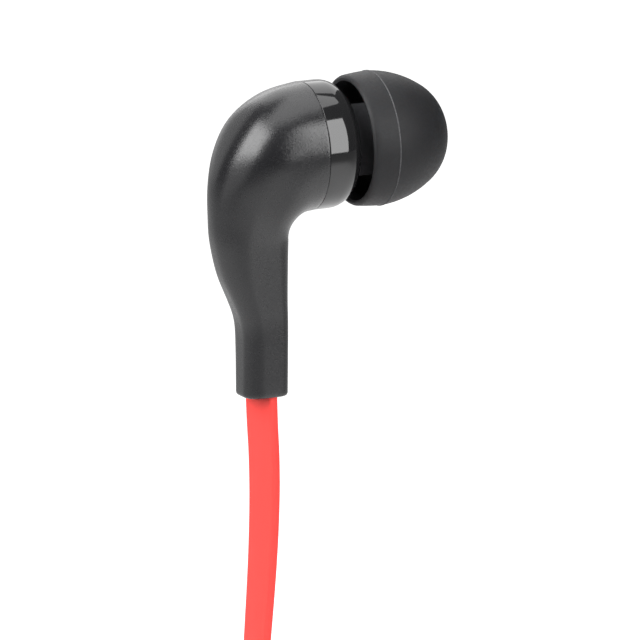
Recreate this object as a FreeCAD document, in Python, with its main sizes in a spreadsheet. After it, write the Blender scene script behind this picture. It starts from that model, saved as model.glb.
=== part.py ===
"""Wired in-ear earphones with a flat cord, as the pieces they are assembled from.

Millimetres, +Z up.  The origin is on the left nozzle's axis, in the plane where the left
ear tip is widest, and +X runs along the nozzle towards the ear.  The left earpiece is held
upright as an ear holds it.  Its cord drops to a hank, and the right earpiece and the plug
hang below the hank.
"""
import FreeCAD, Part
import Sketcher
import math
import os

from FreeCAD import Placement, Rotation, Vector

# Driving dimensions, kept in the sheet
DIMENSIONS = {
    # ear tip, distances along the nozzle from the tip's widest plane
    "tip_radius": 6.20,
    "skirt_reach": 2.44,
    "skirt_radius": 5.95,
    "skirt_wall": 0.45,
    "nose_reach": 6.40,
    "nose_radius": 2.60,
    "lumen_radius": 2.10,
    "sleeve_radius": 3.30,
    "sleeve_bore": 2.80,
    # front housing
    "seam_back": 6.80,
    "ring_radius": 5.90,
    "shoulder_round": 2.20,
    "housing_front": 3.00,
    "nozzle_radius": 2.60,
    "nozzle_reach": 3.40,
    "lip_radius": 2.77,
    "lip_length": 1.00,
    "nozzle_bore": 1.80,
    "spigot_radius": 5.25,
    "spigot_length": 1.40,
    "cavity_radius": 4.75,
    "cavity_front": 5.00,
    # driver
    "driver_radius": 4.70,
    "driver_bore": 4.25,
    "foil": 0.08,
    "dome_radius": 2.36,
    "coil_radius": 2.10,
    "coil_wall": 0.20,
    "coil_length": 1.75,
    "plate_radius": 2.00,
    "plate_front": 6.45,
    "plate_thickness": 0.55,
    "magnet_length": 1.20,
    "yoke_radius": 3.00,
    "yoke_bore": 2.42,
    "yoke_floor": 0.65,
    "frame_back": 8.10,
    "board_width": 4.40,
    "board_thickness": 0.50,
    # stem of the rear boot
    "stem_axis": 11.18,
    "stem_front": 9.20,
    "stem_back": 13.30,
    "stem_width": 4.70,
    "stem_end": 22.92,
    "channel_depth": 2.20,
    "channel_width": 2.80,
    "anchor_height": 2.20,
    # cord
    "cord_width": 3.80,
    "cord_thickness": 1.00,
    "cord_grip": 3.50,
    "slot_play": 0.05,
    "wire_size": 0.45,
    # hank
    "hank_axis": -6.00,
    "hank_height": -158.0,
    "hank_pitch": 1.50,
    "hank_run": 76.0,
    "hank_layer": 4.60,
    "left_fold": 15.0,
    "inner_fold": 11.6,
    "entry_round": 11.0,
    "trunk_loops": 3,
    "tie_height": 10.0,
    "tie_wall": 1.0,
    # splitter
    "splitter_length": 15.0,
    "splitter_width": 10.0,
    "splitter_depth": 4.4,
    "splitter_wall": 0.9,
    "splitter_entry": 2.3,
    # plug
    "relief_length": 10.0,
    "grip_length": 17.0,
    "grip_radius": 3.60,
    "pin_radius": 1.75,
    "pin_sleeve": 7.40,
    "pin_ring": 2.30,
    "pin_insulator": 0.70,
    "pin_point": 2.90,
    "plug_drop": 20.0,
    "right_drop": 10.0,
}

doc = FreeCAD.newDocument("Earphones")
sheet = doc.addObject("Spreadsheet::Sheet", "Sizes")
for row, (alias, amount) in enumerate(DIMENSIONS.items(), start=1):
    sheet.set("A%d" % row, alias)
    sheet.set("B%d" % row, str(amount))
    sheet.setAlias("B%d" % row, alias)
doc.recompute()

SUB_PARTS = {}


def mm(alias):
    """The number in the sheet under a name."""
    return float(sheet.get(alias))


class Size:
    """A length with its value and the sheet expression that gives it."""

    def __init__(self, value, text):
        self.value = value
        self.text = text

    def __add__(self, other):
        other = size_of(other)
        return Size(self.value + other.value, "(%s + %s)" % (self.text, other.text))

    def __sub__(self, other):
        other = size_of(other)
        return Size(self.value - other.value, "(%s - %s)" % (self.text, other.text))

    def __mul__(self, factor):
        return Size(self.value * factor, "(%s * %s)" % (self.text, factor))

    def __neg__(self):
        return Size(-self.value, "(-%s)" % self.text)


def size_of(item):
    """A Size from a sheet name, a plain number or a Size."""
    if isinstance(item, Size):
        return item
    if isinstance(item, str):
        return Size(mm(item), "Sizes.%s" % item)
    return Size(float(item), "%.4f" % item)


def back(alias):
    """A place behind the tip's widest plane."""
    return -size_of(alias)


# Turned pieces, each a sketch on the XZ plane revolved about the X axis

START, END = 1, 2
ORIGIN, H_AXIS, V_AXIS = -1, -1, -2


def outline(body, label, points):
    """Closed sketch of (along, radius) corners, each bound to the sheet."""
    sketch = body.newObject("Sketcher::SketchObject", label)
    plane = next(item for item in body.Origin.OriginFeatures if item.Role == "XZ_Plane")
    sketch.AttachmentSupport = (plane, [""])
    sketch.MapMode = "FlatFace"
    corners = [(size_of(along), size_of(out)) for along, out in points]
    places = [Vector(along.value, out.value, 0) for along, out in corners]
    count = len(places)
    for edge in range(count):
        sketch.addGeometry(Part.LineSegment(places[edge], places[(edge + 1) % count]), False)
    bound = []
    for edge, (along, out) in enumerate(corners):
        sketch.addConstraint(Sketcher.Constraint("Coincident", edge, END, (edge + 1) % count, START))
        for kind, amount, axis in (("DistanceX", along, V_AXIS), ("DistanceY", out, H_AXIS)):
            if abs(amount.value) < 1e-9:
                sketch.addConstraint(Sketcher.Constraint("PointOnObject", edge, START, axis))
                continue
            rule = Sketcher.Constraint(kind, ORIGIN, START, edge, START, amount.value)
            bound.append((sketch.addConstraint(rule), amount))
    for number, amount in bound:
        sketch.setExpression("Constraints[%d]" % number, amount.text)
    return sketch


def turned(label, points, place, kept=True):
    """Piece turned about its own X axis."""
    body = doc.addObject("PartDesign::Body", label)
    body.Label = label
    sketch = outline(body, label + "_outline", points)
    turn = body.newObject("PartDesign::Revolution", label + "_turn")
    turn.Profile = sketch
    turn.ReferenceAxis = (sketch, ["H_Axis"])
    turn.Angle = 360
    body.Placement = place
    if kept:
        SUB_PARTS[label] = body
    return body


def ring(label, start, length, inner, outer, place):
    """Plain ring or disc from its rear face forwards."""
    start, inner, outer = size_of(start), size_of(inner), size_of(outer)
    front = start + length
    return turned(label, [(start, inner), (front, inner), (front, outer), (start, outer)], place)


# Blocks, lofts and tubes


def block(label, lengths, centre, place=None, kept=False):
    """Box with its three lengths bound to the sheet, about a centre."""
    box = doc.addObject("Part::Box", label)
    box.Label = label
    sizes = [size_of(length) for length in lengths]
    for prop, size in zip(("Length", "Width", "Height"), sizes):
        box.setExpression(prop, size.text)
    corner = centre - Vector(*[size.value / 2 for size in sizes])
    box.Placement = (place or Placement()) * Placement(corner, Rotation())
    if kept:
        SUB_PARTS[label] = box
    return box


def cut(label, base, tool, place=None, kept=False):
    """One object less another."""
    result = doc.addObject("Part::Cut", label)
    result.Label = label
    result.Base = base
    result.Tool = tool
    result.Placement = place or Placement()
    if kept:
        SUB_PARTS[label] = result
    return result


def fuse(label, pieces):
    """Several objects as one."""
    result = doc.addObject("Part::MultiFuse", label)
    result.Shapes = pieces
    return result


def shaped(label, shape, place=None, kept=True):
    """A shape as an object of the document."""
    feature = doc.addObject("Part::Feature", label)
    feature.Label = label
    feature.Shape = shape
    feature.Placement = place or Placement()
    if kept:
        SUB_PARTS[label] = feature
    return feature


CORNER_CHORDS = 4


def rounded_section(centre, high, wide, half_high, half_wide, corners):
    """Closed wire of a rounded rectangle about a centre, each corner a few equal chords.

    Chords keep the moulded skins light: arcs would cost them several times the facets.
    The first of the two corner sizes is for the side that `high` points to.
    """
    points = []
    for up, out in ((1, 1), (-1, 1), (-1, -1), (1, -1)):
        corner = corners[0] if up > 0 else corners[1]
        middle = centre + high * (up * (half_high - corner)) + wide * (out * (half_wide - corner))
        turns = [math.pi / 2 * step / CORNER_CHORDS for step in range(CORNER_CHORDS + 1)]
        if up * out < 0:
            turns.reverse()
        for turn in turns:
            along = high * (up * corner * math.cos(turn))
            across = wide * (out * corner * math.sin(turn))
            points.append(middle + along + across)
    return Part.makePolygon(points + points[:1])


class Route:
    """A path of straight runs and tangent arcs, laid end to end."""

    def __init__(self, start):
        self.end = start
        self.edges = []

    def line(self, point):
        if (point - self.end).Length > 1e-6:
            self.edges.append(Part.LineSegment(self.end, point).toShape())
            self.end = point

    def arc(self, middle, point):
        self.edges.append(Part.Arc(self.end, middle, point).toShape())
        self.end = point

    def fold(self, across, up):
        """Half turn to a run at another x, over the top (up=1) or under the bottom (up=-1)."""
        radius = abs(across - self.end.x) / 2
        crown = Vector((across + self.end.x) / 2, self.end.y, self.end.z + up * radius)
        self.arc(crown, Vector(across, self.end.y, self.end.z))

    def sway(self, x, y, way, radius):
        """Two equal arcs that carry a vertical run sideways to another x and y."""
        side = Vector(x - self.end.x, y - self.end.y, 0)
        shift = side.Length
        side.normalize()
        angle = math.acos(1 - shift / (2 * radius))
        heave = Vector(0, 0, way)
        start = self.end
        finish = start + side * shift + heave * (2 * radius * math.sin(angle))
        for turn, origin, shares in ((1, start, (0.5, 1.0)), (-1, finish, (0.5, 0.0))):
            hub = origin + side * (radius * turn)
            spots = []
            for share in shares:
                bend = angle * share
                spoke = heave * math.sin(bend) - side * math.cos(bend)
                spots.append(hub + spoke * (radius * turn))
            self.arc(*spots)

    def length(self):
        return sum(edge.Length for edge in self.edges)

    def wire(self):
        return Part.Wire(self.edges)


def rounded_route(points):
    """Route along chosen points, each corner an arc as large as its two runs allow.

    The radius is 0.45 of the shorter run over the tangent of half the turn.
    """
    route = Route(points[0])
    radii = []
    for before, corner, after in zip(points, points[1:], points[2:]):
        came, goes = (corner - before), (after - corner)
        reach = 0.45 * min(came.Length, goes.Length)
        turn = came.getAngle(goes)
        radius = reach / math.tan(turn / 2)
        came.normalize()
        goes.normalize()
        begin, finish = corner - came * reach, corner + goes * reach
        inward = (goes - came).normalize()
        middle = corner + inward * (radius / math.cos(turn / 2) - radius)
        route.line(begin)
        route.arc(middle, finish)
        radii.append(radius)
    route.line(points[-1])
    return route, radii


def flat_tube(route, start_way):
    """Ribbon of the cord's section along a route, its width along Y at the start."""
    way = start_way.normalize()
    wide = Vector(0, 1, 0)
    thick = wide.cross(way).normalize()
    wide = way.cross(thick).normalize()
    half_width, half_thickness = mm("cord_width") / 2, mm("cord_thickness") / 2
    start = route.edges[0].Vertexes[0].Point
    signs = ((1, 1), (-1, 1), (-1, -1), (1, -1))
    corners = [start + wide * (half_width * a) + thick * (half_thickness * b) for a, b in signs]
    section = Part.makePolygon(corners + corners[:1])
    tube = route.wire().makePipeShell([section], True, False)
    long = route.length()
    share = tube.Volume / (long * mm("cord_width") * mm("cord_thickness"))
    print("  tube %.1f mm long, volume over section times length %.4f" % (long, share))
    return tube


# Earpiece


def ear_tip(side, place):
    """Silicone dome with a skirt, a sleeve that grips the nozzle and a narrower lumen at the nose."""
    sleeve_back = back("housing_front") + 0.05
    skirt_back = back("skirt_reach")
    stop = size_of("nozzle_reach") + 0.2
    skirt_inner = size_of("skirt_radius") - "skirt_wall"
    points = [
        (sleeve_back, "sleeve_bore"),
        (stop, "sleeve_bore"),
        (stop, "lumen_radius"),
        ("nose_reach", "lumen_radius"),
        ("nose_reach", "nose_radius"),
        (5.40, 3.95),
        (3.20, 5.42),
        (0, "tip_radius"),
        (skirt_back, "skirt_radius"),
        (skirt_back, skirt_inner),
        (1.0, skirt_inner),
        (4.2, "sleeve_radius"),
        (sleeve_back, "sleeve_radius"),
    ]
    return turned(side + "_ear_tip", points, place)


def front_housing(side, place):
    """Glossy ring with a rounded shoulder, the nozzle with its lip, and the spigot behind the seam."""
    seam, front = back("seam_back"), back("housing_front")
    rim = size_of("nozzle_reach")
    cavity = back("cavity_front")
    spigot = seam - "spigot_length"
    points = [
        (spigot, "cavity_radius"),
        (cavity, "cavity_radius"),
        (cavity, 3.60),
        (cavity + 1.6, "nozzle_bore"),
        (rim, "nozzle_bore"),
        (rim, "lip_radius"),
        (rim - "lip_length", "lip_radius"),
        (rim - "lip_length", "nozzle_radius"),
        (front, "nozzle_radius"),
    ]
    for degrees in (0, 30, 60, 90):
        turn = math.radians(degrees)
        inset = size_of("shoulder_round") * (1 - math.sin(turn))
        set_back = size_of("shoulder_round") * (1 - math.cos(turn))
        points.append((front - set_back, size_of("ring_radius") - inset))
    points += [
        (seam, "ring_radius"),
        (seam, "spigot_radius"),
        (spigot, "spigot_radius"),
    ]
    return turned(side + "_front_housing", points, place)


def driver(side, place):
    """Moving-coil driver seated in the front housing, from the surround back to the terminal board."""
    rim = back("cavity_front")
    rear = rim - "foil"
    ring(side + "_surround", rear, "foil", size_of("dome_radius") + 0.06, "driver_radius", place)
    flat, bend, bulge, crown, rise = 2.05, 1.30, 0.34, 0.40, 0.50
    dome = [
        (rear, flat),
        (rear, "dome_radius"),
        (rim, "dome_radius"),
        (rim, flat),
        (rim + bulge, bend),
        (rim + rise, crown),
        (rim + rise, 0),
        (rear + rise, 0),
        (rear + rise, crown),
        (rear + bulge, bend),
    ]
    turned(side + "_dome", dome, place)
    coil = size_of("coil_radius")
    ring(side + "_voice_coil", rear - "coil_length", "coil_length", coil, coil + "coil_wall", place)
    plate = back("plate_front") - "plate_thickness"
    magnet = plate - "magnet_length"
    floor = magnet - "yoke_floor"
    ring(side + "_top_plate", plate, "plate_thickness", 0, "plate_radius", place)
    ring(side + "_magnet", magnet, "magnet_length", 0, size_of("plate_radius") - 0.15, place)
    yoke = [
        (floor, 0),
        (magnet, 0),
        (magnet, "yoke_bore"),
        (back("plate_front"), "yoke_bore"),
        (back("plate_front"), "yoke_radius"),
        (floor, "yoke_radius"),
    ]
    turned(side + "_yoke", yoke, place)
    frame_back = back("frame_back")
    frame = [
        (frame_back, "yoke_radius"),
        (frame_back + 0.5, "yoke_radius"),
        (frame_back + 0.5, "driver_bore"),
        (rear, "driver_bore"),
        (rear, "driver_radius"),
        (frame_back, "driver_radius"),
    ]
    turned(side + "_driver_frame", frame, place)
    board_middle = floor.value - mm("board_thickness") / 2
    board = ("board_thickness", "board_width", 4.0)
    block(side + "_terminal_board", board, Vector(board_middle, 0, 0), place, True)
    return floor.value - mm("board_thickness")


def boot_sections():
    """Sections of the boot: fanned about the inside of the elbow, then level down the stem."""
    pivot = Vector(-mm("seam_back"), 0, -8.40)
    # turn of the section in degrees, its inner and outer reach from the pivot, half width,
    # and the corners on its outer and inner side
    fan = (
        (0, 2.50, 14.30, 5.90, (5.80, 5.80)),
        (15, 2.75, 14.10, 5.60, (5.50, 4.70)),
        (30, 3.10, 13.10, 5.30, (4.40, 3.50)),
        (45, 3.00, 11.80, 4.60, (3.90, 2.80)),
        (60, 2.70, 10.60, 3.80, (3.60, 2.30)),
        (75, 2.50, 9.60, 3.35, (3.20, 1.90)),
        (90, 2.40, 9.10, 3.10, (2.80, 1.60)),
    )
    wide = Vector(0, 1, 0)
    sections = []
    for degrees, inner, outer, half_wide, corners in fan:
        bend = math.radians(degrees)
        outward = Vector(-math.sin(bend), 0, math.cos(bend))
        middle = pivot + outward * ((inner + outer) / 2)
        sections.append(rounded_section(middle, outward, wide, (outer - inner) / 2, half_wide, corners))
    stem_front, stem_back, half = mm("stem_front"), mm("stem_back"), mm("stem_width") / 2
    end = mm("stem_end")
    # depth, back face, front face, half width, and the corners at the back and front
    level = (
        (11.50, 15.20, 9.25, 2.80, (2.40, 1.25)),
        (13.90, 14.20, 9.25, 2.60, (2.05, 1.05)),
        (15.80, 13.50, stem_front, half + 0.10, (1.80, 0.90)),
        (17.80, stem_back, stem_front, half + 0.05, (1.70, 0.85)),
        (end - 0.30, stem_back, stem_front, half - 0.05, (1.70, 0.85)),
        (end, stem_back - 0.22, stem_front + 0.22, half - 0.27, (1.48, 0.63)),
    )
    outward = Vector(-1, 0, 0)
    for depth, rear, front, half_wide, corners in level:
        middle = Vector(-(rear + front) / 2, 0, -depth)
        sections.append(rounded_section(middle, outward, wide, (rear - front) / 2, half_wide, corners))
    return sections


def boot_tools():
    """Room inside the boot: bore for the spigot, driver space, wire channel and cord slot."""
    seam = back("seam_back")
    spigot_end = seam - "spigot_length" - 0.05
    hollow = [
        (seam + 0.5, 0),
        (seam + 0.5, "spigot_radius"),
        (spigot_end, "spigot_radius"),
        (spigot_end, 3.40),
        (-11.60, 3.40),
        (-11.60, 0),
    ]
    bulb = turned("boot_hollow", hollow, Placement(), kept=False)
    slot_top = mm("cord_grip") - mm("stem_end")
    channel_top = -2.0
    stem_x = -mm("stem_axis")
    channel = block(
        "boot_channel",
        ("channel_depth", "channel_width", size_of("stem_end") - "cord_grip" + channel_top),
        Vector(stem_x, 0, (slot_top + channel_top) / 2),
    )
    play = size_of("slot_play") * 2
    slot = block(
        "boot_slot",
        (size_of("cord_thickness") + play, size_of("cord_width") + play, size_of("cord_grip") + 1.0),
        Vector(stem_x, 0, slot_top - (mm("cord_grip") + 1.0) / 2),
    )
    return fuse("boot_room", [bulb, channel, slot])


def lead_wires(stem_x, anchor_top, board_back):
    """Two insulated wires from the anchor up the channel to the back of the board."""
    bend, level, spread = 1.6, -1.0, 0.6
    half = mm("wire_size") / 2
    wires = []
    for y in (-spread, spread):
        path = Part.makePolygon(
            [
                Vector(stem_x, y, anchor_top),
                Vector(stem_x, y, level - bend),
                Vector(stem_x + bend, y, level),
                Vector(board_back, y, level),
            ]
        )
        signs = ((1, 1), (-1, 1), (-1, -1), (1, -1))
        corners = [Vector(stem_x + half * a, y + half * b, anchor_top) for a, b in signs]
        section = Part.makePolygon(corners + corners[:1])
        wires.append(path.makePipeShell([section], True, False, 1))
    return Part.makeCompound(wires)


def earpiece(side, place, boot_skin, boot_room):
    """All the pieces of one earpiece."""
    ear_tip(side, place)
    front_housing(side, place)
    ring(side + "_nozzle_screen", size_of("nozzle_reach") - 0.3, 0.15, 0, "nozzle_bore", place)
    ring(side + "_damping_foam", -2.6, 1.0, 0, "nozzle_bore", place)
    board_back = driver(side, place)
    cut(side + "_rear_boot", boot_skin, boot_room, place, True)
    stem_x = -mm("stem_axis")
    slot_top = mm("cord_grip") - mm("stem_end")
    anchor_top = slot_top + mm("anchor_height")
    anchor = ("channel_depth", "channel_width", "anchor_height")
    block(side + "_cable_anchor", anchor, Vector(stem_x, 0, (slot_top + anchor_top) / 2), place, True)
    shaped(side + "_lead_wires", lead_wires(stem_x, anchor_top, board_back), place)


# Cord, hank and splitter

HANK_X, HANK_Z = mm("hank_axis"), mm("hank_height")
RUN_TOP, RUN_BOTTOM = HANK_Z + mm("hank_run") / 2, HANK_Z - mm("hank_run") / 2
LAYER, STEP = mm("hank_layer"), mm("hank_pitch") / 2
SPLIT_TOP, SPLIT_BOTTOM = HANK_Z + mm("splitter_length") / 2, HANK_Z - mm("splitter_length") / 2
ENTRY = mm("splitter_entry")
RIGHT_STEM = RUN_BOTTOM - mm("right_drop")
PLUG_TOP = RUN_BOTTOM - mm("plug_drop")


def left_hank_route():
    """In from the top on the left run, one loop inwards, then across to the splitter's top."""
    fold = mm("left_fold")
    route = Route(Vector(HANK_X - fold, -LAYER, RUN_TOP))
    route.line(Vector(route.end.x, -LAYER, RUN_BOTTOM))
    route.fold(HANK_X + fold - STEP, -1)
    route.line(Vector(route.end.x, -LAYER, RUN_TOP))
    route.fold(HANK_X - fold + 2 * STEP, 1)
    route.sway(HANK_X, -ENTRY, -1, mm("entry_round"))
    route.line(Vector(HANK_X, -ENTRY, SPLIT_TOP))
    return route


def winding_out(route, side, up, half_turns, layer):
    """Loops that spiral outwards from a run on one side, ending with a downward run on that side."""
    fold = mm("inner_fold")
    for turn in range(half_turns):
        route.line(Vector(route.end.x, layer, RUN_TOP if up > 0 else RUN_BOTTOM))
        side = -side
        fold += STEP
        route.fold(HANK_X + side * fold, up)
        up = -up
    route.line(Vector(route.end.x, layer, RUN_BOTTOM))
    return route


def right_hank_route():
    """Up out of the splitter's top to the right run, outwards, and down off the left run."""
    route = Route(Vector(HANK_X, ENTRY, SPLIT_TOP))
    shift = math.hypot(mm("inner_fold"), LAYER - ENTRY)
    rise = math.sqrt(4 * mm("entry_round") * shift - shift * shift)
    route.line(Vector(HANK_X, ENTRY, RUN_TOP - rise))
    route.sway(HANK_X + mm("inner_fold"), LAYER, 1, mm("entry_round"))
    return winding_out(route, 1, 1, 3, LAYER)


def trunk_hank_route():
    """Down out of the splitter to the right run, outwards, and down off the right run."""
    route = Route(Vector(HANK_X, 0, SPLIT_BOTTOM))
    shift = mm("inner_fold")
    drop = math.sqrt(4 * mm("entry_round") * shift - shift * shift)
    route.line(Vector(HANK_X, 0, RUN_BOTTOM + drop))
    route.sway(HANK_X + mm("inner_fold"), 0, -1, mm("entry_round"))
    return winding_out(route, 1, -1, 2 * int(mm("trunk_loops")), 0)


def least_gap(route):
    """Least distance between the faces of turns that lie side by side, from points along the route."""
    step = 2.0
    points = route.wire().discretize(Distance=step)
    apart = int(20 / step)
    gaps = [(one - two).Length for at, one in enumerate(points) for two in points[at + apart :]]
    return min(gaps) - mm("cord_thickness")


def cords():
    """The three cords: free stretches along chosen points, and their turns in the hank."""
    exit_x = -mm("stem_axis")
    left_run = HANK_X - mm("left_fold")
    left_points = [
        Vector(exit_x, 0, mm("cord_grip") - mm("stem_end")),
        Vector(exit_x, 0, -24.0),
        Vector(-10.80, 0, -30.5),
        Vector(-11.00, 0, -38.5),
        Vector(-11.95, -0.3, -49),
        Vector(-13.40, -1.1, -65),
        Vector(-16.90, -2.7, -83),
        Vector(-19.80, -4.1, -98),
        Vector(left_run, -LAYER, -110),
        Vector(left_run, -LAYER, RUN_TOP),
    ]
    hank_left, hank_right, hank_trunk = left_hank_route(), right_hank_route(), trunk_hank_route()
    right_exit, trunk_exit = hank_right.end, hank_trunk.end
    right_end = Vector(right_exit.x, LAYER, RIGHT_STEM - mm("cord_grip"))
    right_points = [right_exit, right_end]
    trunk_points = [trunk_exit, Vector(trunk_exit.x, 0, PLUG_TOP)]
    stretches = {
        "left_branch": (left_points, hank_left),
        "right_branch": (right_points, hank_right),
        "trunk": (trunk_points, hank_trunk),
    }
    for name, (points, wound) in stretches.items():
        print(name)
        free, radii = rounded_route(points)
        print("  radii", ["%.0f" % radius for radius in radii])
        shaped(name + "_cord", flat_tube(free, points[1] - points[0]))
        first = wound.edges[0].Vertexes
        shaped(name + "_hank", flat_tube(wound, first[1].Point - first[0].Point))
        print("  least gap to itself %.2f mm" % least_gap(wound))
        print("  whole length %.1f mm" % (free.length() + wound.length()))


def splitter():
    """Two glued shell halves where the branches join the trunk, with the crimp inside."""
    depth, wall = mm("splitter_depth"), mm("splitter_wall")
    middle = Vector(HANK_X, 0, HANK_Z)
    for name, side in (("front", 1), ("back", -1)):
        offset = Vector(side * depth / 4, 0, 0)
        lengths = (size_of("splitter_depth") * 0.5, "splitter_width", "splitter_length")
        solid = block("splitter_%s_solid" % name, lengths, middle + offset)
        rounded = doc.addObject("Part::Fillet", "splitter_%s_round" % name)
        rounded.Base = solid
        doc.recompute()
        face_x = middle.x + side * depth / 2
        rounded.Edges = [
            (number, 1.2, 1.2)
            for number, edge in enumerate(solid.Shape.Edges, start=1)
            if all(abs(vertex.X - face_x) < 1e-6 for vertex in edge.Vertexes)
        ]
        inside = (
            size_of("splitter_depth") * 0.5 - "splitter_wall",
            size_of("splitter_width") - size_of("splitter_wall") * 2,
            size_of("splitter_length") - size_of("splitter_wall") * 2,
        )
        room_middle = middle + Vector(side * (depth / 2 - wall) / 2, 0, 0)
        room = block("splitter_%s_room" % name, inside, room_middle)
        cut("splitter_" + name, rounded, room, None, True)
    crimp = (
        size_of("splitter_depth") - size_of("splitter_wall") * 2,
        size_of("splitter_width") - size_of("splitter_wall") * 2,
        5.0,
    )
    block("splitter_crimp", crimp, middle, None, True)


def tie():
    """Strap round the hank's waist."""
    reach = mm("inner_fold") + 2 * mm("trunk_loops") * STEP + mm("cord_thickness") / 2
    deep = LAYER + mm("cord_width") / 2
    wall = mm("tie_wall")
    middle = Vector(HANK_X, 0, HANK_Z + 18)
    loops = []
    for name, extra in (("outer", wall), ("inner", 0.0)):
        solid = block("tie_" + name, (2 * (reach + extra), 2 * (deep + extra), "tie_height"), middle)
        doc.recompute()
        upright = [
            number
            for number, edge in enumerate(solid.Shape.Edges, start=1)
            if abs(edge.Vertexes[0].Z - edge.Vertexes[1].Z) > 1.0
        ]
        trimmed = doc.addObject("Part::Chamfer", "tie_%s_corners" % name)
        trimmed.Base = solid
        trimmed.Edges = [(number, 0.5 + extra / 2, 0.5 + extra / 2) for number in upright]
        loops.append(trimmed)
    cut("tie", loops[0], loops[1], None, True)


# Plug


def plug():
    """Straight plug of three contacts, hanging pin down from the trunk."""
    trunk_x = HANK_X + mm("inner_fold") + 2 * mm("trunk_loops") * STEP
    down = Placement(Vector(trunk_x, 0, PLUG_TOP), Rotation(Vector(0, 1, 0), 90))
    waist = size_of("relief_length")
    relief = [(0, 0), (waist, 0), (waist, 2.9), (0, 2.1)]
    turned("plug_relief", relief, down)
    face = waist + "grip_length"
    grip = [
        (waist, 0),
        (waist, 2.9),
        (waist + 1.2, "grip_radius"),
        (face - 1.2, "grip_radius"),
        (face, 2.9),
        (face, 0),
    ]
    turned("plug_grip", grip, down)
    sleeve_end = face + "pin_sleeve"
    sleeve = [
        (face, 0),
        (face, 2.30),
        (face + 0.6, 2.30),
        (face + 0.6, "pin_radius"),
        (sleeve_end, "pin_radius"),
        (sleeve_end, 0),
    ]
    turned("plug_sleeve", sleeve, down)
    ring("plug_rear_insulator", sleeve_end, "pin_insulator", 0, "pin_radius", down)
    contact = sleeve_end + "pin_insulator"
    ring("plug_ring", contact, "pin_ring", 0, "pin_radius", down)
    ring("plug_front_insulator", contact + "pin_ring", "pin_insulator", 0, "pin_radius", down)
    tip_start = contact + "pin_ring" + "pin_insulator"
    point = tip_start + "pin_point"
    tip = [
        (tip_start, 0),
        (tip_start, "pin_radius"),
        (tip_start + 0.45, 1.25),
        (tip_start + 1.30, "pin_radius"),
        (point - 0.25, 0.45),
        (point, 0),
    ]
    turned("plug_tip", tip, down)


# Build

boot_skin = shaped("boot_skin", Part.makeLoft(boot_sections(), True, True), kept=False)
boot_room = boot_tools()
earpiece("left", Placement(), boot_skin, boot_room)
upside_down = Rotation(Vector(1, 0, 0), 180)
right_run = HANK_X - mm("inner_fold") - 3 * STEP
right_origin = Vector(right_run + mm("stem_axis"), LAYER, RIGHT_STEM - mm("stem_end"))
right_place = Placement(right_origin, upside_down)
earpiece("right", right_place, boot_skin, boot_room)
cords()
splitter()
tie()
plug()
doc.recompute()

for item in doc.Objects:
    if "Invalid" in item.State or "Error" in item.State:
        raise RuntimeError("%s did not build: %s" % (item.Label, item.State))
os.makedirs("parts", exist_ok=True)
for label, item in SUB_PARTS.items():
    shape = item.Shape
    if shape.isNull() or not shape.isValid() or shape.Volume <= 0:
        raise RuntimeError("%s has no sound shape" % label)
    shape.exportStep("parts/%s.step" % label)
print("%d sub-parts" % len(SUB_PARTS))
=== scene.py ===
"""Wired in-ear earphones with a flat red cord, dressed around their packed construction.

Meshes are modelled in millimetres and scaled to metres as they are finished.  +X runs along
the left nozzle towards the ear and +Z is up.  The left earpiece is held as an ear holds it,
and the rest of the set hangs below it.
"""
import math

import bmesh
import bpy
from bpy.props import FloatProperty, FloatVectorProperty, PointerProperty
from mathutils import Matrix, Quaternion, Vector

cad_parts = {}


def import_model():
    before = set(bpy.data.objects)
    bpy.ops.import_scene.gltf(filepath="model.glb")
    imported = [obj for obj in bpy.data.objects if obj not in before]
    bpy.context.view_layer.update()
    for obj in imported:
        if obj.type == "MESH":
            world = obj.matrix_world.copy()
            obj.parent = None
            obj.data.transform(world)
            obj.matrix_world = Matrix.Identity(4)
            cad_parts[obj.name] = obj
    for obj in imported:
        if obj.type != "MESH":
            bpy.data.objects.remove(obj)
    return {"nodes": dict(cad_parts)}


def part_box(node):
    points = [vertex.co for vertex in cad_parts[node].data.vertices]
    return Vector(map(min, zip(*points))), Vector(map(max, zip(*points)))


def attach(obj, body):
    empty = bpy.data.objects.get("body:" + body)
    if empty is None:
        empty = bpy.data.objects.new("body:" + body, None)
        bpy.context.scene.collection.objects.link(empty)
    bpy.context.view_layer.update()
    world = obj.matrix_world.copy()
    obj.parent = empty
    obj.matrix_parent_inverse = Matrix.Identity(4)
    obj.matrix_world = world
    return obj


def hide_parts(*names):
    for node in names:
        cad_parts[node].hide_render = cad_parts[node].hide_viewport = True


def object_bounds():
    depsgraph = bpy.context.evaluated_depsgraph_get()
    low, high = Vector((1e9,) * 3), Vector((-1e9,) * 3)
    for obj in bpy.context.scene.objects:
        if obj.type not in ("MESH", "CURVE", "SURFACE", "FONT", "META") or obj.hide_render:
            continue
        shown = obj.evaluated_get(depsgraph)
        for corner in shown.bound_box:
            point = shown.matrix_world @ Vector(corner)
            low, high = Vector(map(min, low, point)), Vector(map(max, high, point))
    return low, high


bl_info = {
    "name": "Wired Earphones",
    "version": (1, 0, 0),
    "blender": (4, 5, 0),
    "location": "3D View > Sidebar > Earphones",
    "description": "Earpieces, flat cord, splitter and plug of a pair of wired earphones",
    "category": "Object",
}

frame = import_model()
CAD_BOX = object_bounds()

MM = 0.001
SIDES = ("left", "right")
BODY = "earphones"


def linear(code):
    """Linear colour of an sRGB hex value."""
    shares = [int(code[at : at + 2], 16) / 255 for at in (1, 3, 5)]
    return [share / 12.92 if share <= 0.04045 else ((share + 0.055) / 1.055) ** 2.4 for share in shares]


def middle(node):
    """Centre of a node's box, in millimetres."""
    low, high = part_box(node)
    return (low + high) / 2 / MM


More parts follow.
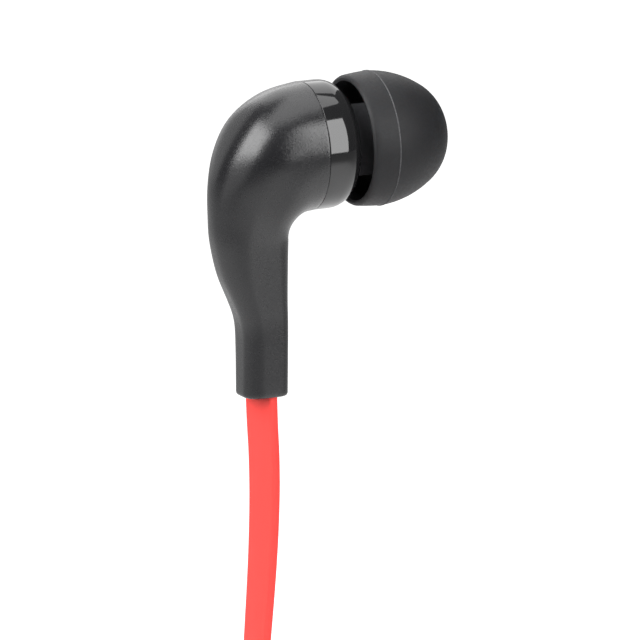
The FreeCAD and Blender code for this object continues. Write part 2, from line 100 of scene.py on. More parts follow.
def places():
    """Where each earpiece is: the left as modelled, the right turned over on the end of its cord."""
    shift = middle("right_front_housing") - middle("left_front_housing")
    return {"left": Matrix(), "right": Matrix.Translation(shift) @ Matrix.Rotation(math.pi, 4, "X")}


PLACES = places()


# Sizes and colours that a user would change


def length(name, description, default):
    """Property for a length in metres."""
    return FloatProperty(
        name=name, description=description, default=default, unit="LENGTH", subtype="DISTANCE"
    )


def angle(name, description, degrees):
    """Property for an angle, its default given in degrees."""
    return FloatProperty(
        name=name, description=description, default=math.radians(degrees), subtype="ANGLE"
    )


def colour(name, description, code):
    """Property for a colour, its default given as an sRGB hex value."""
    return FloatVectorProperty(
        name=name, description=description, default=linear(code), size=3, min=0, max=1, subtype="COLOR"
    )


class EarphoneSizes(bpy.types.PropertyGroup):
    """Real sizes of the pieces that are modelled here."""

    cord_width: length("Cord width", "Width of the flat cord", 0.0038)
    cord_thickness: length("Cord thickness", "Thickness of the flat cord", 0.0010)
    cord_corner: length("Cord corner", "Round of the cord's long edges", 0.00030)
    cord_twist: angle("Cord twist", "Turn of the cord about its length where it leaves the stem", 15.5)
    seam_round: length("Seam round", "Round of the two edges that meet at the housing seam", 0.00007)
    parting_height: length("Parting line", "Height of the moulding line round the ear tip", 0.00004)
    screen_pitch: length("Screen pitch", "Spacing of the holes in the nozzle screen", 0.00030)


class EarphoneColours(bpy.types.PropertyGroup):
    """Colours of the visible finishes."""

    boot: colour("Boot", "Soft-touch paint of the rear boots", "#18181A")
    gloss: colour("Housing", "Polished black of the front housings", "#1A1A1B")
    silicone: colour("Ear tip", "Moulded silicone of the ear tips", "#1C1C1E")
    cord: colour("Cord", "Moulded jacket of the cord", "#F2443E")
    steel: colour("Screen", "Woven screen over the nozzle", "#B9BBBE")
    contact: colour("Contacts", "Plated contacts of the plug", "#D9C08A")
    rubber: colour("Tie", "Rubber tie round the hank", "#232325")


class EarphoneView(bpy.types.PropertyGroup):
    """Where the camera stands."""

    azimuth: angle("Azimuth", "Turn of the camera about the vertical", -24.1)
    elevation: angle("Elevation", "Rise of the camera over the horizon", 16.7)
    distance: length("Distance", "From the camera to the middle of its view", 0.45)
    width: length("View width", "Width of the view at that distance", 0.0585)
    right: length("Right", "Middle of the view to the right of the origin", -0.00479)
    up: length("Up", "Middle of the view above the origin", -0.01665)


# Materials


def add_node(tree, kind, inputs=None, links=None, **settings):
    """Add a node with its settings, the values of its inputs, and what is linked to them."""
    node = tree.nodes.new(kind)
    for name, value in settings.items():
        setattr(node, name, value)
    for name, value in (inputs or {}).items():
        node.inputs[name].default_value = value
    for name, socket in (links or {}).items():
        tree.links.new(socket, node.inputs[name])
    return node


def new_material(name):
    """Empty material with its tree and its output node."""
    material = bpy.data.materials.new(name)
    material.use_nodes = True
    material.node_tree.nodes.clear()
    return material, material.node_tree, material.node_tree.nodes.new("ShaderNodeOutputMaterial")


def grain(tree, size, **inputs):
    """Noise in real millimetres: its scale is one over the size of a grain."""
    place = add_node(tree, "ShaderNodeTexCoord")
    return add_node(
        tree,
        "ShaderNodeTexNoise",
        {"Scale": 1 / (size * MM), **inputs},
        {"Vector": place.outputs["Object"]},
    )


def shades(tree, factor, dark, light):
    """Colour that runs between two shades of one base by a factor."""
    ramp = add_node(tree, "ShaderNodeValToRGB", links={"Fac": factor})
    ramp.color_ramp.elements[0].color = (*dark, 1)
    ramp.color_ramp.elements[1].color = (*light, 1)
    ramp.color_ramp.elements[0].position = 0.3
    ramp.color_ramp.elements[1].position = 0.7
    return ramp.outputs["Color"]


def spread(base, share):
    """Darker and lighter shade of a base colour."""
    dark = [channel * (1 - share) for channel in base]
    light = [min(1.0, channel * (1 + share)) for channel in base]
    return dark, light


def grained(name, base, size, variation, height, roughness, rough_play=0.04, patch=40, **shader):
    """Moulded or coated surface: fine grain in its shade and relief, and patches in its gloss.

    The grain's size and height are in millimetres.  Variation is the share by which the shade
    plays, and a patch is given in grains.
    """
    material, tree, output = new_material(name)
    noise = grain(tree, size, Detail=4.0, Roughness=0.6)
    patches = grain(tree, size * patch, Detail=2.0)
    rough = add_node(
        tree,
        "ShaderNodeMapRange",
        {"To Min": roughness - rough_play, "To Max": roughness + rough_play},
        {"Value": patches.outputs["Fac"]},
    )
    bump = add_node(
        tree,
        "ShaderNodeBump",
        {"Strength": 1.0, "Distance": height * MM},
        {"Height": noise.outputs["Fac"]},
    )
    surface = add_node(
        tree,
        "ShaderNodeBsdfPrincipled",
        {name.replace("_", " "): value for name, value in shader.items()},
        {
            "Base Color": shades(tree, noise.outputs["Fac"], *spread(base, variation)),
            "Roughness": rough.outputs["Result"],
            "Normal": bump.outputs["Normal"],
        },
    )
    tree.links.new(surface.outputs["BSDF"], output.inputs["Surface"])
    return material


def soft_touch_paint():
    """Soft-touch paint over moulded ABS: a dull, fine-grained black with a wide soft highlight."""
    # The real paint's grain is too fine to show here, so it is drawn coarser
    base = bpy.context.scene.earphone_colours.boot
    return grained(
        "soft_touch_paint", base,
        size=0.16, variation=0.12, height=0.012, roughness=0.25, rough_play=0.09, patch=1.6,
        Specular_IOR_Level=0.60,
    )


def polished_polycarbonate():
    """Polished black polycarbonate: sharp reflections, with the faint waviness of a moulding."""
    base = bpy.context.scene.earphone_colours.gloss
    return grained(
        "polished_polycarbonate", base,
        size=1.5, variation=0.05, height=0.002, roughness=0.07, rough_play=0.02,
        IOR=1.585,
    )


def moulded_silicone():
    """Moulded silicone: charcoal, matte, with a bloom that lifts it at a grazing look."""
    # The real skin's grain is too fine to show here, so it is drawn coarser
    base = bpy.context.scene.earphone_colours.silicone
    return grained(
        "moulded_silicone", base,
        size=0.12, variation=0.10, height=0.011, roughness=0.56, rough_play=0.12, patch=2,
        Specular_IOR_Level=0.30, Subsurface_Weight=0.3, Subsurface_Radius=(0.8, 0.5, 0.4),
        Subsurface_Scale=MM,
    )


def ridge_painted_highlight():
    """Thin flash that the mould leaves on silicone: dull, and paler as a painted highlight on its edge.
    """
    # Paler than the skin: a painted highlight along the parting ridge
    return grained(
        "ridge_painted_highlight", linear("#464648"), size=0.2, variation=0.4, height=0.004, roughness=0.7
    )


def skirt_inside_painted_light():
    """Inside of the silicone skirt, left rough by the mould's core; its lighter colour is painted light
    in its shade.
    """
    # Lighter than the skin's colour: painted light where the skirt's inside lies in shade
    return grained(
        "skirt_inside_painted_light", linear("#3E3E41"),
        size=0.12, variation=0.12, height=0.010, roughness=0.8,
        Specular_IOR_Level=0.30,
    )


def flat_cord_jacket():
    """Extruded elastomer jacket: saturated red, satin, with a faint grain."""
    base = bpy.context.scene.earphone_colours.cord
    return grained(
        "flat_cord_jacket", base,
        size=0.10, variation=0.04, height=0.003, roughness=0.50,
        Specular_IOR_Level=0.4,
    )


def woven_steel():
    """Stainless steel screen: bright, a little rough from its weave."""
    base = bpy.context.scene.earphone_colours.steel
    return grained(
        "woven_steel", base, size=0.05, variation=0.15, height=0.004, roughness=0.32, Metallic=1.0
    )


def open_foam():
    """Open-cell damping foam: dark grey cells."""
    return grained("open_foam", linear("#2B2B2B"), size=0.15, variation=0.5, height=0.06, roughness=0.9)


def polyester_film():
    """Clear polyester film of the diaphragm, seen thin and pale gold."""
    return grained(
        "polyester_film", linear("#B9A878"),
        size=0.8, variation=0.08, height=0.004, roughness=0.2,
        Transmission_Weight=0.3,
    )


def enamelled_copper():
    """Enamelled copper winding: orange-brown metal, banded by its turns of wire."""
    material, tree, output = new_material("enamelled_copper")
    # The wire is taken as 0.05 mm thick, and a band is drawn about four turns wide, so that it shows
    turn = 0.05
    place = add_node(tree, "ShaderNodeTexCoord")
    turns = add_node(
        tree,
        "ShaderNodeTexWave",
        {"Scale": 1 / (turn * MM) / (4 * math.pi), "Distortion": 0.0},
        {"Vector": place.outputs["Object"]},
        bands_direction="X",
    )
    bump = add_node(tree, "ShaderNodeBump", {"Distance": 0.02 * MM}, {"Height": turns.outputs["Fac"]})
    surface = add_node(
        tree,
        "ShaderNodeBsdfPrincipled",
        {"Metallic": 1.0, "Roughness": 0.3},
        {
            "Base Color": shades(tree, turns.outputs["Fac"], linear("#6E3218"), linear("#C8703C")),
            "Normal": bump.outputs["Normal"],
        },
    )
    tree.links.new(surface.outputs["BSDF"], output.inputs["Surface"])
    return material


def zinc_plated_iron():
    """Zinc-plated soft iron of the yoke and top plate: cool grey metal with a crystalline bloom."""
    return grained(
        "zinc_plated_iron", linear("#A9ADB2"),
        size=0.3, variation=0.12, height=0.004, roughness=0.34,
        Metallic=1.0,
    )


def nickel_plated_magnet():
    """Nickel-plated sintered magnet: bright, slightly pitted metal."""
    return grained(
        "nickel_plated_magnet", linear("#C3BEB4"),
        size=0.12, variation=0.08, height=0.006, roughness=0.22,
        Metallic=1.0,
    )


def moulded_nylon():
    """Moulded nylon of the driver frame and cord anchor: dull dark grey."""
    return grained(
        "moulded_nylon", linear("#3A3A3C"), size=0.2, variation=0.10, height=0.008, roughness=0.55
    )


def circuit_laminate():
    """Glass-fibre laminate with green solder mask: glossy, with the weave showing faintly."""
    return grained(
        "circuit_laminate", linear("#1E5B34"), size=0.35, variation=0.20, height=0.005, roughness=0.28
    )


def wire_insulation():
    """Extruded vinyl on the lead wires: smooth, slightly mottled."""
    return grained(
        "wire_insulation", linear("#A8452E"), size=0.3, variation=0.08, height=0.004, roughness=0.42
    )


def brass_crimp():
    """Pressed brass: warm metal with fine drawing marks."""
    return grained(
        "brass_crimp", linear("#B08D4C"),
        size=0.15, variation=0.10, height=0.004, roughness=0.30,
        Metallic=1.0,
    )


def plated_contact():
    """Gold-plated brass contact: pale gold, polished, with light wear from sockets."""
    base = bpy.context.scene.earphone_colours.contact
    return grained(
        "plated_contact", base,
        size=0.5, variation=0.05, height=0.002, roughness=0.16, rough_play=0.06,
        Metallic=1.0,
    )


def moulded_insulator():
    """Black moulded rings between the contacts: smooth and slightly glossy."""
    return grained(
        "moulded_insulator", linear("#101012"), size=0.2, variation=0.10, height=0.002, roughness=0.35
    )


def tie_rubber():
    """Moulded rubber of the tie: matte near-black with a fine bloom."""
    base = bpy.context.scene.earphone_colours.rubber
    return grained("tie_rubber", base, size=0.15, variation=0.15, height=0.006, roughness=0.62)


FINISHES = {
    "soft_touch": soft_touch_paint,
    "gloss_black": polished_polycarbonate,
    "silicone": moulded_silicone,
    "flash": ridge_painted_highlight,
    "skin": skirt_inside_painted_light,
    "cord_red": flat_cord_jacket,
    "mesh_steel": woven_steel,
    "foam": open_foam,
    "film": polyester_film,
    "copper": enamelled_copper,
    "soft_iron": zinc_plated_iron,
    "magnet": nickel_plated_magnet,
    "inner_plastic": moulded_nylon,
    "circuit_board": circuit_laminate,
    "wire_enamel": wire_insulation,
    "crimp": brass_crimp,
    "contact": plated_contact,
    "insulator": moulded_insulator,
    "tie_rubber": tie_rubber,
}
# Materials made so far, by slot
MADE = {}


def finish_of(slot):
    """The material of a slot, made once."""
    if slot not in MADE:
        MADE[slot] = FINISHES[slot]()
    return MADE[slot]


# Making pieces


# An edge that turns further than this stays sharp
SHARP = math.radians(32)


def to_object(mesh, name, place=None, subdivided=0):
    """Object from a mesh modelled in millimetres, put in its place in metres."""
    bmesh.ops.remove_doubles(mesh, verts=mesh.verts, dist=1e-5)
    bmesh.ops.recalc_face_normals(mesh, faces=mesh.faces)
    bmesh.ops.transform(mesh, matrix=Matrix.Scale(MM, 4) @ (place or Matrix()), verts=mesh.verts)
    for face in mesh.faces:
        face.smooth = True
    for edge in mesh.edges:
        edge.smooth = bool(subdivided) or edge.calc_face_angle(0) < SHARP
    data = bpy.data.meshes.new(name)
    mesh.to_mesh(data)
    mesh.free()
    item = bpy.data.objects.new(name, data)
    bpy.context.scene.collection.objects.link(item)
    if subdivided:
        smooth = item.modifiers.new("smooth", "SUBSURF")
        smooth.levels = subdivided
        smooth.render_levels = subdivided
    return item


def dress(item, slot, body, *nodes):
    """Give a piece its finish, its body and the nodes that it stands for."""
    item.data.materials.append(finish_of(slot))
    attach(item, body)
    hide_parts(*nodes)
    return item


def rounded(corners, steps=6):
    """Outline of (along, out) corners, where a third number rounds a corner with an arc."""
    points = []
    for index, (along, out, *bend) in enumerate(corners):
        here = Vector((along, out))
        if not bend:
            points.append(here)
            continue
        behind = (Vector(corners[index - 1][:2]) - here).normalized()
        ahead = (Vector(corners[(index + 1) % len(corners)][:2]) - here).normalized()
        half = behind.angle(ahead) / 2
        hub = here + (behind + ahead).normalized() * (bend[0] / math.sin(half))
        start = here + behind * (bend[0] / math.tan(half)) - hub
        end = here + ahead * (bend[0] / math.tan(half)) - hub
        points += arc(hub, hub + start, hub + end, steps)
    return points


def arc(hub, first, last, steps):
    """Points of an arc about a hub, from one point to another, both included."""
    radius = (first - hub).length
    return [hub + (first - hub).slerp(last - hub, step / steps) * radius for step in range(steps + 1)]


def bulge(start, end, radius, steps):
    """Points of an arc between two points that bulges away from the axis."""
    first, last = Vector(start), Vector(end)
    chord = last - first
    across = Vector((chord.y, -chord.x)).normalized()
    if across.y < 0:
        across = -across
    hub = (first + last) / 2 - across * math.sqrt(radius * radius - (chord.length / 2) ** 2)
    return arc(hub, first, last, steps)


def turned(name, points, place=None, steps=96, closed=True):
    """Piece turned about the X axis from an outline of (along, radius) points."""
    mesh = bmesh.new()
    verts = [mesh.verts.new((along, 0, out)) for along, out in points]
    pairs = list(zip(verts, verts[1:])) + ([(verts[-1], verts[0])] if closed else [])
    edges = [mesh.edges.new(pair) for pair in pairs]
    bmesh.ops.spin(
        mesh,
        geom=verts + edges,
        cent=(0, 0, 0),
        axis=(1, 0, 0),
        angle=2 * math.pi,
        steps=steps,
        use_merge=True,
    )
    return to_object(mesh, name, place)


def loft(mesh, rings, closed=False):
    """Skin through rings of points of one count, capped at both ends or closed on itself."""
    loops = []
    for index, ring in enumerate(rings):
        ends = not closed and index in (0, len(rings) - 1)
        made = bmesh.ops.create_circle(mesh, cap_ends=ends, segments=len(ring), radius=1.0)
        for vert, point in zip(made["verts"], ring):
            vert.co = point
        loops.append(list({edge for vert in made["verts"] for edge in vert.link_edges}))
    for one, two in zip(loops, loops[1:] + (loops[:1] if closed else [])):
        bmesh.ops.bridge_loops(mesh, edges=one + two)
    return mesh


def rounded_ring(centre, high, wide, half_high, half_wide, corners, steps):
    """Points of a rounded rectangle, its corners at the high side and at the low side."""
    ring = []
    for quarter, (up, out) in enumerate(((1, 1), (-1, 1), (-1, -1), (1, -1))):
        corner = corners[0] if up > 0 else corners[1]
        hub = centre + high * (up * (half_high - corner)) + wide * (out * (half_wide - corner))
        for step in range(steps + 1):
            bend = (quarter + step / steps) * math.pi / 2
            ring.append(hub + high * (corner * math.cos(bend)) + wide * (corner * math.sin(bend)))
    return ring


# Rear boot

# Place along X of the housing seam and of the cord slot, and the hub of the elbow
SEAM = -6.8
STEM_X = -11.18
PIVOT = Vector((SEAM, 0, -8.4))
# Radius that the boot leaves for the front housing's spigot
SPIGOT_ROOM = 5.30
# Fan about the elbow: turn in degrees, inner and outer reach, half width, outer and inner corner
ELBOW = (
    (0, 2.50, 14.30, 5.90, 5.80, 5.80),
    (15, 2.75, 14.10, 5.60, 5.50, 4.70),
    (30, 3.10, 13.10, 5.30, 4.40, 3.50),
    (45, 3.00, 11.80, 4.60, 3.90, 2.80),
    (60, 2.70, 10.60, 3.80, 3.60, 2.30),
    (75, 2.50, 9.60, 3.35, 3.20, 1.90),
    (90, 2.40, 9.10, 3.10, 2.80, 1.60),
)
# Level sections of the stem: depth below the nozzle, rear and front face, half width, corners
STEM = (
    (11.50, 15.20, 9.25, 2.80, 2.40, 1.25),
    (13.90, 14.20, 9.25, 2.60, 2.05, 1.05),
    (15.80, 13.50, 9.20, 2.45, 1.80, 0.90),
    (17.80, 13.30, 9.20, 2.40, 1.70, 0.85),
    (22.62, 13.30, 9.20, 2.30, 1.70, 0.85),
)
# Depth of the stem's end below the nozzle, and the round of its rim
STEM_END = 22.92
STEM_ROUND = 0.30
# The stem's end is cut a little askew: its fall for each millimetre across
STEM_SLANT = 0.09
# Slot for the cord in the stem's end: half height, half width and its corners
CORD_SLOT = (0.55, 1.95, 0.25, 0.25)


def boot_table():
    """Each section as centre, turn, half height, half width and two corners."""
    rows = []
    for degrees, inner, outer, *shape in ELBOW:
        bend = math.radians(degrees)
        reach = (inner + outer) / 2
        centre = (PIVOT.x - math.sin(bend) * reach, PIVOT.z + math.cos(bend) * reach)
        rows.append((*centre, bend, (outer - inner) / 2, *shape))
    for depth, rear, front, *shape in STEM:
        rows.append((-(rear + front) / 2, -depth, math.pi / 2, (rear - front) / 2, *shape))
    return rows


def smooth_rows(rows, between):
    """Rows with smoothly interpolated ones between them, by the distance of their centres."""
    at = [0.0]
    for one, two in zip(rows, rows[1:]):
        at.append(at[-1] + math.hypot(two[0] - one[0], two[1] - one[1]))

    def slope(index, column):
        low, high = max(index - 1, 0), min(index + 1, len(rows) - 1)
        return (rows[high][column] - rows[low][column]) / (at[high] - at[low])

    result = []
    for index in range(len(rows) - 1):
        span = at[index + 1] - at[index]
        for step in range(between):
            share = step / between
            square, cube = share * share, share * share * share
            row = []
            for column in range(len(rows[0])):
                row.append(
                    rows[index][column] * (2 * cube - 3 * square + 1)
                    + rows[index + 1][column] * (3 * square - 2 * cube)
                    + slope(index, column) * span * (cube - 2 * square + share)
                    + slope(index + 1, column) * span * (cube - square)
                )
            result.append(tuple(row))
    result.append(rows[-1])
    return result


def boot_ring(row, inset=0.0, forward=0.0):
    """Ring of one section, inset from its outline and moved along the boot."""
    centre_x, centre_z, bend, half_high, half_wide, *corners = row
    outward = Vector((-math.sin(bend), 0, math.cos(bend)))
    along = Vector((-math.cos(bend), 0, -math.sin(bend)))
    centre = Vector((centre_x, 0, centre_z)) + along * forward
    corners = [max(corner - inset, 0.05) for corner in corners]
    across = Vector((0, 1, 0))
    return rounded_ring(centre, outward, across, half_high - inset, half_wide - inset, corners, 12)


def rear_boot(side):
    """Elbow and stem in one moulding, open at the seam and at the cord slot."""
    sizes = bpy.context.scene.earphone_sizes
    seam = sizes.seam_round / MM
    rows = smooth_rows(boot_table(), 3)
    first, last = rows[0], rows[-1]
    recess = (*first[:3], SPIGOT_ROOM, SPIGOT_ROOM, SPIGOT_ROOM - 0.02, SPIGOT_ROOM - 0.02)
    rings = [boot_ring(recess, 0, 1.2), boot_ring(recess, 0, seam), boot_ring(recess, 0, 0)]
    for degrees in (90, 60, 30):
        turn = math.radians(degrees)
        rings.append(boot_ring(first, seam * (1 - math.cos(turn)), seam * (1 - math.sin(turn))))
    rings += [boot_ring(first, 0, seam), boot_ring(first, 0, 2 * seam)]
    rings += [boot_ring(row) for row in rows[1:]]
    for degrees in (0, 30, 60, 90):
        turn = math.radians(degrees)
        row = (last[0], -STEM_END, *last[2:])
        inset = STEM_ROUND * (1 - math.cos(turn))
        ring = boot_ring(row, inset, -STEM_ROUND * (1 - math.sin(turn)))
        fall = [STEM_SLANT * (point.y + last[4]) for point in ring]
        rings.append([point - Vector((0, 0, down)) for point, down in zip(ring, fall)])
    slot_row = (STEM_X, -STEM_END, last[2], *CORD_SLOT)
    rings += [boot_ring(slot_row, -0.05, 0), boot_ring(slot_row, 0, -0.05), boot_ring(slot_row, 0, -3.0)]
    boot = to_object(loft(bmesh.new(), rings), side + "_boot_shell", PLACES[side], subdivided=1)
    return dress(boot, "soft_touch", BODY, side + "_rear_boot")


# Front housing and ear tip


def front_housing(side):
    """Polished ring with a rounded shoulder, nozzle with its lip, and the hollow for the driver."""
    seam = bpy.context.scene.earphone_sizes.seam_round / MM
    corners = [
        (-8.20, 4.75),
        (-5.00, 4.75),
        (-5.00, 3.60),
        (-3.40, 1.80),
        (3.40, 1.80, 0.12),
        (3.40, 2.77, 0.15),
        (2.40, 2.77, 0.15),
        (2.40, 2.60, 0.05),
        (-3.00, 2.60, 0.25),
        (-3.00, 5.90, 2.20),
        (SEAM, 5.90, seam),
        (SEAM, 5.25),
        (-8.20, 5.25),
    ]
    shell = turned(side + "_gloss_housing", rounded(corners, 10), PLACES[side], steps=128)
    return dress(shell, "gloss_black", BODY, side + "_front_housing")


# Ear tip: bore, sleeve and its bore, half width of the parting ridge
LUMEN = 2.10
SLEEVE = 3.30
SLEEVE_BORE = 2.84
RIDGE = 0.06


def ear_tip(side):
    """Silicone dome with its skirt, the sleeve that grips the nozzle and a fine parting line."""
    ridge = bpy.context.scene.earphone_sizes.parting_height / MM
    nose, shoulder, widest = (6.40, 2.60), (4.40, 4.79), (0.0, 6.21)
    side_on, crest = widest[1], widest[1] + ridge
    outline = [Vector((nose[0], LUMEN)), Vector(nose)]
    outline += bulge(nose, shoulder, 5.0, 10)[1:]
    outline += bulge(shoulder, widest, 9.0, 12)[1:-1]
    outline += [Vector((RIDGE, side_on)), Vector((RIDGE / 2, crest))]
    outline += [Vector((-RIDGE / 2, crest)), Vector((-RIDGE, side_on))]
    outline += bulge((-0.4, 6.19), (-2.15, 6.02), 24.0, 4)
    outline += [Vector(place) for place in ((-2.34, 5.92), (-2.44, 5.76), (-2.44, 5.62), (-2.34, 5.50))]
    outline += bulge((-1.6, 5.55), (3.0, 4.70), 9.0, 8)
    outline += [Vector(place) for place in ((4.1, 4.0), (4.2, SLEEVE), (-2.75, SLEEVE), (-2.92, 3.15))]
    outline += [Vector((along, SLEEVE_BORE)) for along in (-2.92, 2.3, 3.6)]
    outline.append(Vector((3.6, LUMEN)))
    tip = turned(side + "_silicone_tip", outline, PLACES[side], steps=128)
    dress(tip, "silicone", side + "_tip", side + "_ear_tip")
    # The ridge's paler finish is a painted highlight, and the skirt inside's lighter one is painted light
    # in its shade
    for slot in ("flash", "skin"):
        tip.data.materials.append(finish_of(slot))
    to_nozzle = PLACES[side].inverted()
    for face in tip.data.polygons:
        face.material_index = tip_finish(to_nozzle @ (face.center / MM))
    return tip


def tip_finish(place):
    """Which of the tip's materials a place has: 0 is its skin, 1 the ridge, 2 the skirt's inside."""
    out = math.hypot(place.y, place.z)
    # The parting ridge takes the paler finish, a painted highlight
    if abs(place.x) < 1.5 * RIDGE and out > 6.1:
        return 1
    # The skirt's inside takes the finish with painted light in its shade
    skirt_wall = 5.66 - 0.13 * max(0, place.x + 1.6)
    return 2 if -2.4 < place.x < 3.6 and SLEEVE - 0.05 < out < skirt_wall else 0


def nozzle_screen(side):
    """Fine screen across the nozzle: a plate of square holes in a plain rim."""
    pitch = bpy.context.scene.earphone_sizes.screen_pitch / MM
    reach, rim, thick, seat = 1.79, 1.62, 0.10, 3.2
    half_wire = 0.22 * pitch
    cells = 2 * int(reach / pitch)
    mesh = bmesh.new()
    bmesh.ops.create_grid(mesh, x_segments=cells, y_segments=cells, size=cells * pitch / 2)
    outside = [face for face in mesh.faces if face.calc_center_median().length > rim]
    bmesh.ops.delete(mesh, geom=outside, context="FACES")
    holes = bmesh.ops.inset_individual(
        mesh, faces=mesh.faces, thickness=half_wire, use_even_offset=True
    )
    kept = set(holes["faces"])
    bmesh.ops.delete(mesh, geom=[face for face in mesh.faces if face not in kept], context="FACES")
    edge = [item for item in mesh.edges if item.is_boundary and item.calc_length() > pitch * 0.9]
    grown = bmesh.ops.extrude_edge_only(mesh, edges=edge)
    for vert in (item for item in grown["geom"] if isinstance(item, bmesh.types.BMVert)):
        vert.co = vert.co.normalized() * reach
    bmesh.ops.solidify(mesh, geom=mesh.faces, thickness=thick)
    across = Matrix.Translation((seat, 0, 0)) @ Matrix.Rotation(math.pi / 2, 4, "Y")
    screen = to_object(mesh, side + "_woven_screen", PLACES[side] @ across)
    return dress(screen, "mesh_steel", BODY, side + "_nozzle_screen")


# Cord


# How far from a run's end the point that holds it straight lies
HOLD = 6.0


class Way:
    """Points that pull a cord's line: chosen ones, and the turns of a hank worked out."""

    def __init__(self, points=()):
        self.points = [Vector(point) for point in points]

    def through(self, *points):
        """Go on through chosen points."""
        self.points += [Vector(point) for point in points]

    def run(self, x, y, start, end):
        """Straight run at one x and y, held near both its ends."""
        hold = HOLD if end > start else -HOLD
        self.through((x, y, start + hold), (x, y, end - hold))

    def fold(self, x_from, x_to, y, end, up):
        """Half turn from one run to the next, over the top (up=1) or under the bottom (up=-1)."""
        radius, centre = abs(x_to - x_from) / 2, (x_to + x_from) / 2
        side = 1 if x_from > centre else -1
        outside = radius / math.cos(math.radians(15))
        for degrees in range(15, 180, 30):
            bend = math.radians(degrees)
            across = side * outside * math.cos(bend)
            self.through((centre + across, y, end + up * outside * math.sin(bend)))


def line_through(name, points):
    """Smooth line pulled by the points, as the places read along it."""
    curve = bpy.data.curves.new(name + "_line", "CURVE")
    curve.dimensions = "3D"
    curve.resolution_u = 8
    spline = curve.splines.new("NURBS")
    spline.points.add(len(points) - 1)
    for control, point in zip(spline.points, points):
        control.co = (*point, 1)
    spline.order_u = 3
    spline.use_endpoint_u = True
    holder = bpy.data.objects.new(name + "_line", curve)
    drawn = bpy.data.meshes.new_from_object(holder)
    places = [vert.co.copy() for vert in drawn.vertices]
    bpy.data.objects.remove(holder)
    bpy.data.curves.remove(curve)
    bpy.data.meshes.remove(drawn)
    return places


def flat_cord(name, points, twist=None):
    """Flat cord along a smooth line, its width across Y but for a twist given by height."""
    sizes = bpy.context.scene.earphone_sizes
    half_thick, half_wide = sizes.cord_thickness / MM / 2, sizes.cord_width / MM / 2
    corners = [sizes.cord_corner / MM] * 2
    line = line_through(name, points)
    rings = []
    for index, place in enumerate(line):
        along = (line[min(index + 1, len(line) - 1)] - line[max(index - 1, 0)]).normalized()
        wide = Vector((0, 1, 0))
        if twist:
            wide = Matrix.Rotation(twist(place.z), 3, "Z") @ wide
        wide = (wide - along * wide.dot(along)).normalized()
        rings.append(rounded_ring(place, along.cross(wide), wide, half_thick, half_wide, corners, 3))
    return to_object(loft(bmesh.new(), rings), name), [place * MM for place in line]


# Middle of the hank, and its straight runs between the folds
HANK_X = -6.0
HANK_Z = -158.0
HANK_RUN = 76.0
TOP = HANK_Z + HANK_RUN / 2
BOTTOM = HANK_Z - HANK_RUN / 2
# Place across Y of each branch's loops and of its entry to the splitter; the trunk lies at 0
LAYER = 4.6
ENTRY = 2.3
# How far each half turn lies from the one before
STEP = 0.75
# Half width of the left branch's outer loop, and of the other cords' innermost ones
LEFT_FOLD = 15.0
INNER_FOLD = 11.6
# Upper and lower end of the splitter
SPLIT_TOP = HANK_Z + 7.5
SPLIT_BOTTOM = HANK_Z - 7.5
# The left cord between its stem and the hank
LEFT_STRETCH = (
    (STEM_X, 0, -19.6),
    (STEM_X, 0, -24.0),
    (-10.80, 0, -30.5),
    (-11.00, 0, -38.5),
    (-11.95, -0.3, -49),
    (-13.40, -1.1, -65),
    (-16.90, -2.7, -83),
    (-19.80, -4.1, -98),
    (-21.00, -4.6, -110),
    (-21.00, -4.6, -120),
)


def left_way():
    """From the left stem down to the hank, one loop inwards, and into the splitter."""
    way = Way(LEFT_STRETCH)
    outer = HANK_X - LEFT_FOLD
    inner = HANK_X + LEFT_FOLD - STEP
    last = HANK_X - LEFT_FOLD + 2 * STEP
    way.run(outer, -LAYER, TOP, BOTTOM)
    way.fold(outer, inner, -LAYER, BOTTOM, -1)
    way.run(inner, -LAYER, BOTTOM, TOP)
    way.fold(inner, last, -LAYER, TOP, 1)
    way.through((last, -LAYER, TOP - 3), (last + 2.6, -LAYER + 0.5, TOP - 8.5))
    way.through((HANK_X - 2.6, -ENTRY - 0.5, TOP - 13.5), (HANK_X, -ENTRY, TOP - 19))
    way.through((HANK_X, -ENTRY, TOP - 25), (HANK_X, -ENTRY, SPLIT_TOP - 1))
    return way.points


def wind_out(way, side, up, half_turns, layer):
    """Loops that spiral outwards, half a turn at a time."""
    fold = INNER_FOLD
    for turn in range(half_turns):
        end = TOP if up > 0 else BOTTOM
        here = HANK_X + side * fold
        side, fold = -side, fold + STEP
        there = HANK_X + side * fold
        way.fold(here, there, layer, end, up)
        up = -up
        if turn < half_turns - 1:
            way.run(there, layer, end, TOP if up > 0 else BOTTOM)
    return there


def right_way():
    """From the splitter up into the hank, outwards, and down to the right stem."""
    way = Way([(HANK_X, ENTRY, SPLIT_TOP - 1), (HANK_X, ENTRY, SPLIT_TOP + 5)])
    far = HANK_X + INNER_FOLD
    way.through((HANK_X, ENTRY, TOP - 18), (HANK_X + 2.3, ENTRY + 0.4, TOP - 12.5))
    way.through((far - 2.3, LAYER - 0.4, TOP - 7.5), (far, LAYER, TOP - 2))
    last = wind_out(way, 1, 1, 3, LAYER)
    stem_end = PLACES["right"].translation.z + STEM_END
    way.through((last, LAYER, TOP - 6), (last, LAYER, BOTTOM + 6))
    way.through((last, LAYER, stem_end + 6), (last, LAYER, stem_end - 3.2))
    return way.points


def trunk_way():
    """From the splitter down into the hank, outwards, and down to the plug."""
    way = Way([(HANK_X, 0, SPLIT_BOTTOM + 1), (HANK_X, 0, SPLIT_BOTTOM - 4)])
    far = HANK_X + INNER_FOLD
    way.through((HANK_X, 0, BOTTOM + 18), (HANK_X + 2.3, 0, BOTTOM + 12.5))
    way.through((far - 2.3, 0, BOTTOM + 7.5), (far, 0, BOTTOM + 2))
    last = wind_out(way, 1, -1, 6, 0)
    plug_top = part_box("plug_relief")[1].z / MM
    way.through((last, 0, TOP - 6), (last, 0, BOTTOM + 6))
    way.through((last, 0, plug_top + 8), (last, 0, plug_top - 0.5))
    return way.points


# Depth below the nozzle at which the left cord's twist is gone
TWIST_GONE = 62


